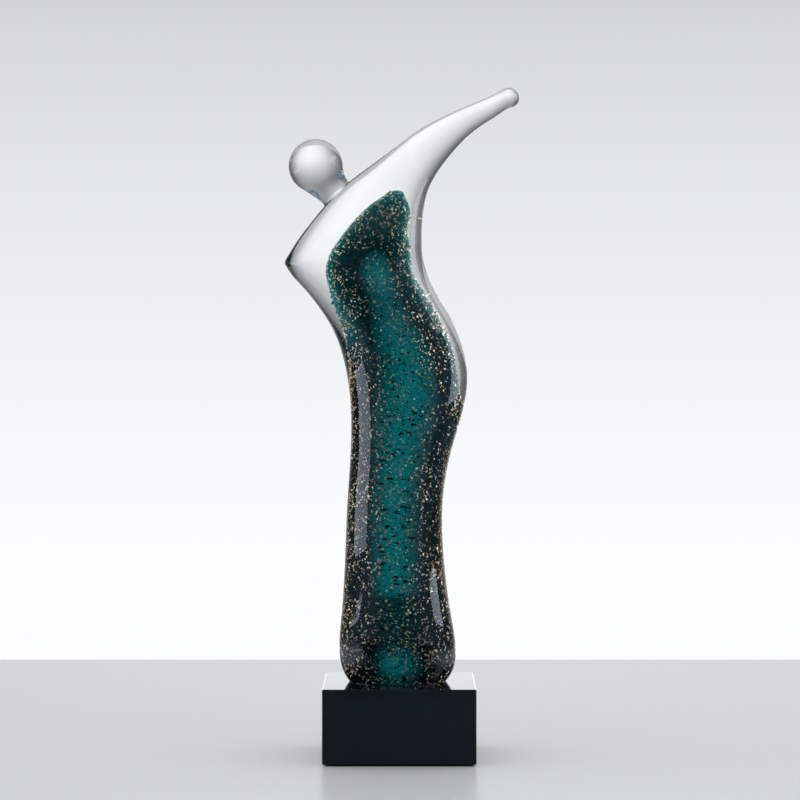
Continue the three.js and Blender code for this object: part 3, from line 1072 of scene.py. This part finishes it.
@dataclass(frozen=True)
class GlassFigure:
    """Casing, coloured layer and clear gather of the figure."""

    figure: Figure = Figure()
    skin: Skin = Skin()
    seat: float = 40.32

    def _closed(self, name: str, rings: Array, apex: Array, start: Array | None = None) -> Mesh:
        """Make a smooth closed mesh on the seat, from a start or a flat foot to an apex."""
        first = rings[0].mean(axis=0) if start is None else in_space(start)
        return smooth(mesh_of_rings(name, first, rings, in_space(apex), self.seat))

    def casing(self, margin: float = 0.0) -> Mesh:
        """Make the outside of the figure.

        Args:
            margin: How much it is grown.

        Returns:
            The mesh.
        """
        index = self.figure.even_index(self.skin.rings)
        sections = self.figure.sections_at(index).grown(margin)
        across = sections.right[-1] - sections.left[-1]
        across = across / np.linalg.norm(across)
        centre = (sections.left[-1] + sections.right[-1]) / 2
        reach = self.figure.fingertip_reach + margin
        apex = centre + np.array([-across[1], across[0]]) * reach
        rings = self.skin.rings_of(self.skin.domed(sections, apex))
        focus = ((1 - np.cos(ring_angles(self.skin.points))) / 2) ** self.figure.tip_focus
        pull = self.figure.elbow_point(index)[:, None, :] * focus[None, :, None]
        rings[: len(index), :, 0] += pull[:, :, 0]
        rings[: len(index), :, 2] += pull[:, :, 1]
        return self._closed("casing", rings, apex)

    def core_form(self) -> tuple[Sections, Array]:
        """Find the form of the coloured core.

        Returns:
            Its sections and its apex.
        """
        figure = self.figure
        rise = np.linspace(0, figure.walls[-1].share, self.skin.rings) * figure.body_height
        apex = np.array([figure.crown_top_x, figure.crown_top_share * figure.body_height])
        return self.skin.domed(figure.core(rise), apex), apex

    def gather_form(self, margin: float = 0.0) -> tuple[Sections, Array]:
        """Find the form of the clear gather.

        Args:
            margin: How much it is grown.

        Returns:
            Its sections and its apex.
        """
        figure = self.figure
        sections = figure.gather(figure.gather_rises(self.skin.rings, margin), margin)
        middle = (sections.left[-1, 0] + sections.right[-1, 0]) / 2
        return sections, np.array([middle, figure.gather_levels[-1] + margin])

    def colour_layer(self) -> Mesh:
        """Make the coloured shell between the core's outside and the gather's.

        Returns:
            The mesh.
        """
        core, core_apex = self.core_form()
        gather, gather_apex = self.gather_form()
        rings = np.concatenate([self.skin.rings_of(gather)[::-1], self.skin.rings_of(core)])
        return self._closed("colour_layer", rings, core_apex, gather_apex)

    def inner_gather(self) -> Mesh:
        """Make the clear gather, a hair smaller than the hollow of the coloured layer."""
        sections, apex = self.gather_form(-self.figure.fused_gap)
        return self._closed("inner_gather", self.skin.rings_of(sections), apex)

    def core_surface(self, margin: float) -> Mesh:
        """Make the core's outside, grown by a margin, for the flecks to lie on."""
        sections, apex = self.core_form()
        return self._closed("core_surface", self.skin.rings_of(sections.grown(margin)), apex)


@dataclass(frozen=True)
class Head:
    """Ball head on its short flared neck, fused to the shoulder."""

    radius: float = 14.4
    distance: float = 17.8
    lean: float = 7.8
    neck_share: float = 0.401
    foot_radius: float = 9.1
    waist_radius: float = 8.9
    waist_height: float = 2.0
    fillet_height: float = 9.7
    cone_height: float = 12.3
    cone_control: float = 4.5
    seat_depth: float = 1.6
    slope_step: float = 0.5
    segments: int = 128
    arc_points: int = 72
    curve_points: int = 10

    def profile(self) -> Array:
        """Find the half outline as radius and height above the shoulder, from root to top.

        Returns:
            Rows of radius and height.
        """
        join = math.asin((self.fillet_height - self.distance) / self.radius)
        join_radius = self.radius * math.cos(join)
        control = self.fillet_height - (join_radius - self.waist_radius) / math.tan(-join)
        share = np.linspace(0, 1, self.curve_points)[:, None]
        waist = (self.waist_radius, self.waist_height)
        foot = bezier(share, (self.foot_radius, 0), (self.waist_radius, 0), waist)
        end = (join_radius, self.fillet_height)
        neck = bezier(share[1:], waist, (self.waist_radius, control), end)
        angle = np.linspace(join, math.pi / 2, self.arc_points)[1:-1]
        ball = self.radius * np.column_stack([np.cos(angle), np.sin(angle)]) + (0, self.distance)
        return np.vstack([[self.foot_radius, -self.seat_depth], foot, neck, ball])

    def full_side(self, height: Array) -> Array:
        """Find the neck's radius on its full side, where it is nearly a cone.

        Args:
            height: Heights above the shoulder.

        Returns:
            The radii, which are zero above the place where the cone meets the ball.
        """
        drop = self.distance - self.cone_height
        join = math.sqrt(self.radius**2 - drop**2)
        control = join - (self.cone_height - self.cone_control) * drop / join
        share = np.linspace(0, 1, self.arc_points)[:, None]
        end = (join, self.cone_height)
        side = bezier(share, (self.foot_radius, 0), (control, self.cone_control), end)
        return np.interp(height, side[:, 1], side[:, 0], right=0.0)

    def whole(self, glass: GlassFigure) -> Mesh:
        """Make ball and neck before they are fitted to the shoulder.

        Args:
            glass: Maker of the figure.

        Returns:
            The uncut mesh.
        """
        figure = glass.figure
        rise = figure.body_height + self.neck_share * figure.arm_rise
        step = self.slope_step
        below, seat, above = figure.level(np.array([rise - step, rise, rise + step])).left
        along = (above - below) / np.linalg.norm(above - below)
        axis = Vector((-along[1], 0, along[0]))
        axis.rotate(Matrix.Rotation(math.radians(self.lean), 3, "Y"))
        turn = np.array(Vector((0, 0, 1)).rotation_difference(axis).to_matrix())
        rows = self.profile()
        angle = ring_angles(self.segments)
        height = np.repeat(rows[:, 1:], self.segments, axis=1)
        fullness = 1 - ((1 + np.cos(angle)) / 2) ** 2
        extra = np.clip(self.full_side(rows[:, 1:]) - rows[:, :1], 0, None)
        radius = rows[:, :1] + extra * fullness
        rings = np.stack([radius * np.cos(angle), radius * np.sin(angle), height], axis=2)
        origin = in_space(seat)
        start = turn @ in_space((0, -self.seat_depth)) + origin
        end = turn @ in_space((0, self.distance + self.radius)) + origin
        return smooth(mesh_of_rings("head", start, rings @ turn.T + origin, end, glass.seat))

    def fitted(self, glass: GlassFigure, finishes: Finishes) -> Mesh:
        """Cut the root of the neck to the shoulder's surface, with a fused seat.

        Args:
            glass: Maker of the figure.
            finishes: Materials of the glass and of the seat.

        Returns:
            The fitted mesh.
        """
        head = dressed(self.whole(glass), finishes.clear)
        shoulder = dressed(glass.casing(glass.figure.fused_gap), finishes.fused)
        return smooth(boolean(head, shoulder, "DIFFERENCE"))


def bezier(share: Array, first: tuple, control: tuple, last: tuple) -> Array:
    """Find points of a quadratic curve at shares of its run."""
    first, control, last = np.array(first, float), np.array(control, float), np.array(last, float)
    return (1 - share) ** 2 * first + 2 * share * (1 - share) * control + share**2 * last


def with_seat(casing: Mesh, head: Mesh, finishes: Finishes) -> Mesh:
    """Split the casing's surface where the neck is fused to it, and finish both parts.

    Args:
        casing: Mesh of the casing.
        head: Uncut mesh of head and neck.
        finishes: Materials of the glass and of the seat.

    Returns:
        The casing with the seat as faces of their own material.
    """
    marker = bpy.data.materials.new("cut_marker")
    casing, head = dressed(casing, finishes.clear), dressed(head, marker)
    joined = bmesh.new()
    for operation, finish in (("DIFFERENCE", 0), ("INTERSECT", 1)):
        part = boolean(casing, head, operation)
        start = len(joined.faces)
        joined.from_mesh(part)
        joined.faces.ensure_lookup_table()
        names = [material.name if material else "" for material in part.materials]
        added = joined.faces[start:]
        cut_faces = [face for face in added if names[face.material_index] == marker.name]
        for face in added:
            face.material_index = finish
        bmesh.ops.delete(joined, geom=cut_faces, context="FACES")
    bmesh.ops.remove_doubles(joined, verts=joined.verts, dist=MERGE_DISTANCE)
    mesh = dressed(bpy.data.meshes.new("casing"), finishes.clear, finishes.fused)
    joined.to_mesh(mesh)
    joined.free()
    return smooth(mesh)


@dataclass(frozen=True)
class Flecks:
    """Metallic chips scattered over the outside of the coloured core."""

    TONE = "tone"
    density: float = 0.28e6
    clump_scale: float = 55.0
    clump_reach: tuple[float, float] = (0.32, 0.68)
    clump_gain: tuple[float, float] = (0.35, 1.7)
    length_low: float = 0.6
    length_high: float = 1.6
    length_power: float = 2.2
    narrowest: float = 0.45
    thickness: float = 0.22
    tilt: float = 24.0
    wobble: float = 0.3
    lift: float = 0.1
    seed: int = 11
    sides: int = 5

    def scatter(self, surface: Mesh, finish: Material) -> Mesh:
        """Scatter the chips with a geometry node tree and make them a plain mesh.

        Args:
            surface: Surface that the chips lie on.
            finish: Material of the chips.

        Returns:
            Mesh of all chips.
        """
        carrier = add_object("fleck_carrier", surface)
        modifier = carrier.modifiers.new("flecks", "NODES")
        modifier.node_group = self._tree()
        values = {
            "Density": self.density,
            "Longest": self.length_high * MM,
            "Shortest": self.length_low * MM,
            "Tilt": math.radians(self.tilt),
            "Finish": finish,
        }
        for item in modifier.node_group.interface.items_tree:
            if item.in_out == "INPUT" and item.name in values:
                modifier[item.identifier] = values[item.name]
        mesh = evaluated_mesh(carrier)
        bpy.data.objects.remove(carrier)
        return mesh

    def _tree(self) -> bpy.types.NodeTree:
        """Build the node tree: points on the faces, a chip on each, realized, roughened, finished.

        Returns:
            The node tree.
        """
        tree = bpy.data.node_groups.new("scatter_flecks", "GeometryNodeTree")
        numbers = ("Density", "Longest", "Shortest", "Tilt")
        kinds = {"Geometry": "Geometry", **dict.fromkeys(numbers, "Float"), "Finish": "Material"}
        for name, kind in kinds.items():
            tree.interface.new_socket(name=name, in_out="INPUT", socket_type=f"NodeSocket{kind}")
        geometry = "NodeSocketGeometry"
        tree.interface.new_socket(name="Geometry", in_out="OUTPUT", socket_type=geometry)
        graph = Graph(tree)
        given = graph.add("NodeGroupInput").outputs
        noise = graph.add("ShaderNodeTexNoise", {"Scale": self.clump_scale, "Detail": 3.0})
        clumps = graph.remap(noise.outputs[0], self.clump_reach, self.clump_gain)
        density = clumps * given["Density"]
        spread = {"Mesh": given["Geometry"], "Density": density, "Seed": self.seed}
        points = graph.add("GeometryNodeDistributePointsOnFaces", spread).outputs
        ball = {"Segments": self.sides, "Rings": 2, "Radius": 0.5}
        sockets = {
            "Points": points["Points"],
            "Instance": graph.add("GeometryNodeMeshUVSphere", ball).outputs["Mesh"],
            "Rotation": self._turn(graph, points["Rotation"], given["Tilt"]),
            "Scale": self._size(graph, given["Longest"], given["Shortest"]),
        }
        chips = graph.add("GeometryNodeInstanceOnPoints", sockets).outputs[0]
        tone = {"Geometry": chips, "Name": self.TONE, "Value": self._random(graph, 0.0, 1.0, 6)}
        kind = {"data_type": "FLOAT", "domain": "INSTANCE"}
        toned = graph.add("GeometryNodeStoreNamedAttribute", tone, **kind).outputs[0]
        whole = graph.add("GeometryNodeRealizeInstances", {"Geometry": toned}).outputs[0]
        shifts = (self._random(graph, -self.wobble, self.wobble, seed) for seed in (7, 8, 9))
        offset = self._vector(graph, *(shift * given["Shortest"] for shift in shifts))
        moves = {"Geometry": whole, "Offset": offset}
        rough = graph.add("GeometryNodeSetPosition", moves).outputs[0]
        finish = {"Geometry": rough, "Material": given["Finish"]}
        done = graph.add("GeometryNodeSetMaterial", finish).outputs[0]
        graph.add("NodeGroupOutput", {0: done})
        return tree

    def _turn(self, graph: Graph, rotation: Socket, tilt: Socket) -> Socket:
        """Tilt each chip a little off the surface and spin it.

        Args:
            graph: Graph of the node tree.
            rotation: Rotation that lays a chip on the surface.
            tilt: Largest tilt.

        Returns:
            Output socket with the rotation.
        """
        tilts = (self._random(graph, -1.0, 1.0, seed) * tilt for seed in (1, 2))
        spin = self._vector(graph, *tilts, self._random(graph, 0.0, 2 * math.pi, 3))
        turn = graph.add("FunctionNodeEulerToRotation", {0: spin}).outputs[0]
        sockets = {"Rotation": rotation, "Rotate By": turn}
        return graph.add("FunctionNodeRotateRotation", sockets, rotation_space="LOCAL").outputs[0]

    def _size(self, graph: Graph, longest: Socket, shortest: Socket) -> Socket:
        """Size each chip, with more short ones than long ones.

        Args:
            graph: Graph of the node tree.
            longest: Length of the longest chip.
            shortest: Length of the shortest chip.

        Returns:
            Output socket with length, width and thickness.
        """
        share = graph.math("POWER", self._random(graph, 0.0, 1.0, 4), self.length_power)
        length = graph.math("SUBTRACT", longest, shortest) * share + shortest
        width = length * self._random(graph, self.narrowest, 1.0, 5)
        return self._vector(graph, length, width, length * self.thickness)

    def _random(self, graph: Graph, low: float, high: float, seed: int) -> Signal:
        """Add a random number for each point, from its own seed."""
        sockets = {2: low, 3: high, 8: self.seed + seed}
        return graph.signal(graph.add("FunctionNodeRandomValue", sockets, data_type="FLOAT"), 1)

    @staticmethod
    def _vector(graph: Graph, *parts: object) -> Socket:
        """Join three numbers to a vector."""
        return graph.add("ShaderNodeCombineXYZ", dict(enumerate(parts))).outputs[0]


@dataclass(frozen=True)
class SideLight:
    """Upright light panel at one side, which only shows in reflections."""

    side: int
    front: float
    back: float
    bottom: float
    top: float
    gain: float = 1.0

    def build(self, distance: float, radiance: Colour) -> None:
        """Make the panel.

        Args:
            distance: Distance from the object's middle, in millimetres.
            radiance: Colour of its light.
        """
        level = max(radiance)
        width, height = (self.back - self.front) * MM, (self.top - self.bottom) * MM
        data = bpy.data.lights.new("side_light", "AREA")
        data.shape = "RECTANGLE"
        data.size = width
        data.size_y = height
        data.color = [channel / level for channel in radiance[:3]]
        data.energy = self.gain * level * math.pi * width * height
        light = add_object("side_light", data)
        middle = ((self.front + self.back) / 2, (self.bottom + self.top) / 2)
        light.location = (self.side * distance * MM, middle[0] * MM, middle[1] * MM)
        light.rotation_euler = (math.radians(90), 0, math.radians(90 * self.side))
        light.visible_camera = False
        light.visible_diffuse = False
        light.visible_transmission = False


@dataclass(frozen=True)
class Table:
    """Pale table, which mirrors see as a painted reflection: a painted lit part, a painted shade
    and a painted far part.
    """

    front: float = -329.0
    back: float = 468.0
    half_width: float = 1600.0
    roughness: float = 0.34
    ior: float = 1.2
    colour: Colour = linear(226, 230, 233)
    lit: Colour = linear(216, 230, 252)
    painted_shade: Colour = linear(46, 58, 70)
    far: Colour = linear(110, 150, 182)
    lit_near: tuple[float, float] = (120.0, 200.0)
    lit_far: tuple[float, float] = (400.0, 520.0)
    lit_front: tuple[float, float] = (-130.0, -90.0)

    def build(self) -> None:
        """Make the table."""
        side = self.half_width
        corners = [(-side, self.front), (side, self.front), (side, self.back), (-side, self.back)]
        mesh = bpy.data.meshes.new("table")
        mesh.from_pydata([(x * MM, y * MM, 0) for x, y in corners], [], [(0, 1, 2, 3)])
        material, graph = new_material("table")
        x, y, _ = graph.axes("Object")
        aside = graph.math("ABSOLUTE", x)
        # Painted reflection: the lit share picks a painted lit part beside the object over a
        # painted shade in front of it.
        lit = self._rise(graph, aside, self.lit_near) * self._rise(graph, y, self.lit_front)
        shown = graph.mix_colour(lit, self.painted_shade, self.lit)
        shown = graph.mix_colour(self._rise(graph, aside, self.lit_far), shown, self.far)
        # Rays from mirrors see these painted colours in place of the table's own colour.
        colour = graph.mix_colour(graph.mirrored(), self.colour, shown)
        graph.surface({"Base Color": colour, "Roughness": self.roughness, "IOR": self.ior})
        table = add_object("table", dressed(mesh, material))

    @staticmethod
    def _rise(graph: Graph, value: Signal, reach: tuple[float, float]) -> Signal:
        """Let a share rise from 0 to 1 while a length in metres passes a reach in millimetres."""
        return graph.remap(value, (reach[0] * MM, reach[1] * MM))


@dataclass(frozen=True)
class Sky:
    """Light of the backdrop and the room, which depends on a ray's direction and kind.

    The rows start with an angle in degrees: the elevation for the backdrop, for what is seen
    through the glass and for the ceiling, and the azimuth from straight behind for the falloffs.
    """

    plain_level: float = 0.8
    mirror_gain: float = 1.95
    gain_azimuth: float = 10.0
    gain_elevation: float = 15.0
    backdrop: tuple[tuple[float, Colour], ...] = (
        (-8.0, linear(252, 252, 254)),
        (-4.0, linear(251, 252, 254)),
        (-1.2, linear(244, 246, 248)),
        (2.6, linear(229, 233, 236)),
        (6.6, linear(209, 213, 217)),
        (29.0, linear(158, 161, 164)),
        (50.0, linear(143, 146, 149)),
    )
    seen_through: Levels = (
        (-26, 1.06), (-9, 1.05), (-4, 0.99), (0, 0.9), (4, 0.82), (9.4, 0.7), (20, 0.5), (29, 0.37),
        (40, 0.31),
    )
    through_tint: Colour = (0.965, 0.99, 1.015, 1.0)
    through_falloff: Levels = (
        (-180, 0.9), (-130, 0.7), (-105, 0.17), (-60, 0.16), (-45, 0.26), (-35, 0.38), (-24, 0.55),
        (-18, 0.7), (-11, 0.83), (-5, 0.92), (7, 1.0), (16, 0.96), (26, 0.87), (36, 0.62),
        (43, 0.49), (52, 0.33), (58, 0.25), (67, 0.18), (105, 0.17), (130, 0.7), (180, 0.9),
    )
    mirror_falloff: Levels = (
        (-180, 0.02), (-150, 0.06), (-125, 0.3), (-110, 0.3), (-80, 0.14), (-60, 0.05),
        (-45, 0.06), (-35, 0.12), (-24, 0.4), (-11, 0.85), (0, 1.0), (16, 0.9), (26, 0.6),
        (36, 0.3), (43, 0.15), (52, 0.07), (67, 0.06), (80, 0.14), (110, 0.3), (125, 0.3),
        (150, 0.06), (180, 0.02),
    )
    room_azimuth: float = 60.0
    room_tint: Colour = (0.72, 1.1, 1.5, 1.0)
    ceiling_azimuth: float = 110.0
    ceiling: Levels = ((6, 0.0), (12, 0.14), (18, 0.4), (40, 0.4), (60, 0.2))
    chip_falloff: Levels = (
        (-180, 0.01), (-108, 0.02), (-86, 0.2), (-68, 2.5), (-58, 75.0), (-30, 75.0), (-10, 5.0),
        (0, 1.5), (10, 5.0), (30, 38.0), (58, 38.0), (68, 1.5), (86, 0.15), (108, 0.02),
        (180, 0.01),
    )
    guided_loss: float = 0.975

    def build(self) -> None:
        """Make the world: a backdrop for the camera, other light for glass, mirrors and chips."""
        world = bpy.data.worlds.new("studio")
        bpy.context.scene.world = world
        world.use_nodes = True
        world.cycles.sampling_method = "NONE"
        graph = Graph(world.node_tree)
        x, y, z = graph.axes("Generated")
        elevation = graph.math("ARCSINE", z) * DEGREES
        azimuth = graph.math("ARCTAN2", x, y) * DEGREES
        path = graph.add("ShaderNodeLightPath")
        bounced = graph.math("MINIMUM", graph.signal(path, "Glossy Depth"), 1.0)
        scattered = graph.math("MINIMUM", graph.signal(path, "Diffuse Depth"), 1.0)
        glass = self._in_glass(graph, elevation, azimuth, bounced)
        chips = self._ramp(graph, azimuth, self._tinted(self.chip_falloff))
        chips = graph.mix_colour(bounced * self.guided_loss, chips, grey(0.0))
        light = graph.mix_colour(scattered, glass, chips)
        camera = graph.signal(path, "Is Camera Ray")
        light = graph.mix_colour(camera, light, self._ramp(graph, elevation, self.backdrop))
        passed = graph.signal(path, "Is Transmission Ray")
        shown = graph.math("MINIMUM", camera + graph.mirrored() + passed, 1.0)
        colour = graph.mix_colour(shown, grey(self.plain_level), light)
        background = graph.add("ShaderNodeBackground", {"Color": colour, "Strength": 1.0})
        graph.add("ShaderNodeOutputWorld", {"Surface": background.outputs[0]})

    def _in_glass(
        self, graph: Graph, elevation: Signal, azimuth: Signal, bounced: Signal
    ) -> Socket:
        """Find the light that glass and mirrors show.

        Args:
            graph: Graph of the world.
            elevation: Elevation of the ray, in degrees.
            azimuth: Azimuth of the ray, in degrees.
            bounced: 1 where a ray was mirrored on its way.

        Returns:
            Output socket with the colour.
        """
        through = self._ramp(graph, elevation, self._tinted(self.seen_through, self.through_tint))
        spread = self._ramp(graph, azimuth, self._tinted(self.through_falloff))
        room = self._tinted(self.mirror_falloff, self.room_tint, self.room_azimuth)
        narrow = self._ramp(graph, azimuth, room)
        above = self._ramp(graph, elevation, self._tinted(self.ceiling, self.room_tint))
        off_middle = graph.math("ABSOLUTE", azimuth)
        front = graph.math("GREATER_THAN", off_middle, self.ceiling_azimuth)
        narrow = graph.mix_colour(front, narrow, above, "LIGHTEN")
        falloff = graph.mix_colour(bounced, spread, narrow)
        colour = graph.mix_colour(1.0, through, falloff, "MULTIPLY")
        near = graph.math("LESS_THAN", off_middle, self.gain_azimuth)
        low = graph.math("LESS_THAN", elevation, self.gain_elevation)
        gain = near * low * graph.mirrored() * (self.mirror_gain - 1) + 1.0
        level = graph.add("ShaderNodeCombineColor", {0: gain, 1: gain, 2: gain}).outputs[0]
        return graph.mix_colour(1.0, colour, level, "MULTIPLY")

    @staticmethod
    def _tinted(rows: Levels, tint: Colour = WHITE, beyond: float = -1.0) -> list[tuple]:
        """Turn rows of angle and level into rows of angle and colour.

        Args:
            rows: Angle and level of each stop.
            tint: Colour of a level of 1.
            beyond: Angle to either side beyond which the tint holds.

        Returns:
            Angle and colour of each stop.
        """
        stops = []
        for angle, level in rows:
            shares = tint if abs(angle) > beyond else WHITE
            stops.append((angle, (*(level * share for share in shares[:3]), 1.0)))
        return stops

    @staticmethod
    def _ramp(graph: Graph, angle: Signal, stops: list[tuple]) -> Socket:
        """Turn an angle into a colour.

        Args:
            graph: Graph of the world.
            angle: The angle, in degrees.
            stops: Angle and colour of each stop.

        Returns:
            Output socket with the colour.
        """
        low, high = stops[0][0], stops[-1][0]
        shares = [((stop - low) / (high - low), colour) for stop, colour in stops]
        share = (angle - low) / (high - low)
        return graph.add("ShaderNodeValToRGB", {0: share}, stops=shares).outputs[0]


@dataclass(frozen=True)
class Camera:
    """Camera at the photograph's viewing angle."""

    aside: float = 0.4
    distance: float = 1550.0
    height: float = 220.7
    dip: float = 1.17
    lens: float = 131.7
    sensor_width: float = 36.0

    def build(self) -> None:
        """Make the camera."""
        data = bpy.data.cameras.new("camera")
        data.lens = self.lens
        data.sensor_width = self.sensor_width
        camera = add_object("camera", data)
        camera.location = (self.aside * MM, -self.distance * MM, self.height * MM)
        camera.rotation_euler = (math.radians(90 - self.dip), 0, 0)
        bpy.context.scene.camera = camera


@dataclass(frozen=True)
class Studio:
    """Table, side lights, sky and camera."""

    table: Table = Table()
    sky: Sky = Sky()
    camera: Camera = Camera()
    box_distance: float = 700.0
    box_radiance: Colour = (1.7, 1.9, 2.25, 1.0)
    side_lights: tuple[SideLight, ...] = (
        SideLight(-1, -214.0, 297.0, 77.0, 205.0),
        SideLight(-1, -150.0, 200.0, 49.0, 54.0),
        SideLight(1, -90.0, 230.0, 100.0, 760.0, 1.35),
        SideLight(1, -330.0, -90.0, 445.0, 760.0, 0.8),
    )

    def build(self) -> None:
        """Make the whole studio."""
        self.table.build()
        for light in self.side_lights:
            light.build(self.box_distance, self.box_radiance)
        self.sky.build()
        self.camera.build()


def set_light_bounces(scene: bpy.types.Scene) -> None:
    """Allow enough bounces for light to pass the nested glasses."""
    for kind, count in LIGHT_BOUNCES.items():
        setattr(scene.cycles, kind, count)


def build_trophy(glass: GlassFigure, head: Head, flecks: Flecks, finishes: Finishes) -> None:
    """Make every piece of the trophy.

    Args:
        glass: Maker of the figure.
        head: Maker of the head.
        flecks: Maker of the flecks.
        finishes: Materials of the pieces.
    """
    casing = with_seat(glass.casing(), head.whole(glass), finishes)
    place("glass_casing", casing, Slot.CLEAR, "casing")
    place("ball_head", head.fitted(glass, finishes), Slot.CLEAR, "head")
    place("teal_layer", dressed(glass.colour_layer(), finishes.teal), Slot.TEAL, "colour_layer")
    place("clear_gather", dressed(glass.inner_gather(), finishes.fused), Slot.CLEAR, "inner_gather")
    chips = flecks.scatter(glass.core_surface(flecks.lift), finishes.fleck)
    place("gold_flecks", chips, Slot.TEAL)
    carried = {"plinth": finishes.black, "glue_film": finishes.glue, "felt_pad": finishes.felt}
    for node, finish in carried.items():
        dressed(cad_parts[node].data, finish)


def main() -> None:
    """Build the trophy and the studio."""
    logging.basicConfig(level=logging.INFO, format="%(name)s: %(message)s")
    bpy.context.scene.view_settings.view_transform = "Standard"
    set_light_bounces(bpy.context.scene)
    build_trophy(GlassFigure(), Head(), Flecks(), Finishes.build())
    Studio().build()


if __name__ == "__main__":
    main()
